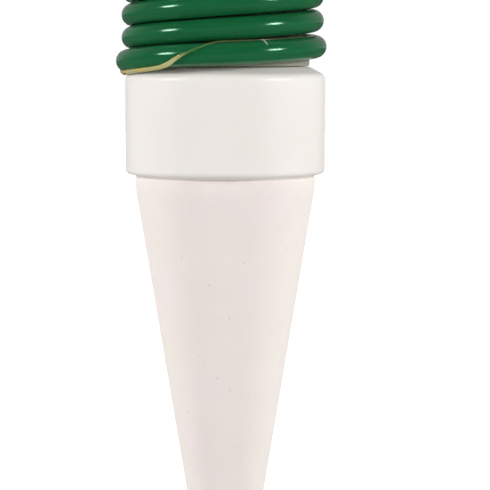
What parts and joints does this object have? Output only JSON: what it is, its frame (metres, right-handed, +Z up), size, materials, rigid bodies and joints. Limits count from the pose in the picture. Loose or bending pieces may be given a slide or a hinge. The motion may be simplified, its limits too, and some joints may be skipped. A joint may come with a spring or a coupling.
{
  "type": "self watering spike",
  "caption": "Self watering spike: hollow porous ceramic cone in a plastic collar, with a screw cap that carries the wound supply tube and its strainer.",
  "frame": {"origin": "on the cone's axis at the collar's lower edge, which is the soil line", "axes": "+Z up along the cone's axis, from its buried tip to the cap, and -Y the pictured front"},
  "size_m": [0.0474, 0.0526, 0.1608],
  "materials": {
    "ceramic": "matte",
    "bond": "matte",
    "milky_plastic": "satin",
    "cap_plastic": "satin",
    "seal": "matte",
    "tube": "gloss",
    "band": "satin",
    "strainer": "satin",
    "foam": "matte"
  },
  "bodies": {
    "spike": {"ceramic_cone": "ceramic", "bond_ring": "bond", "cone_collar": "milky_plastic"},
    "seal": {"cap_seal": "seal"},
    "cap": {"winding_cap": "cap_plastic", "tube_winding": "tube", "tube_lead": "tube", "rubber_band": "band", "strainer_cap": "strainer", "strainer_body": "strainer", "strainer_foam": "foam"}
  },
  "joints": [
    {"name": "cap_lift", "type": "slide", "parent": "spike", "child": "seal", "axis": [0, 0, 1], "range_m": [0, 0.0105]},
    {"name": "cap_turn", "type": "hinge", "parent": "seal", "child": "cap", "pos_m": [0, 0, 0.05], "axis": [0, 0, 1], "range_deg": [0, 1080]}
  ],
  "couplings": [
    {"joint": "cap_lift", "follows": "cap_turn", "m_per_rad": 0.00055704}
  ]
}
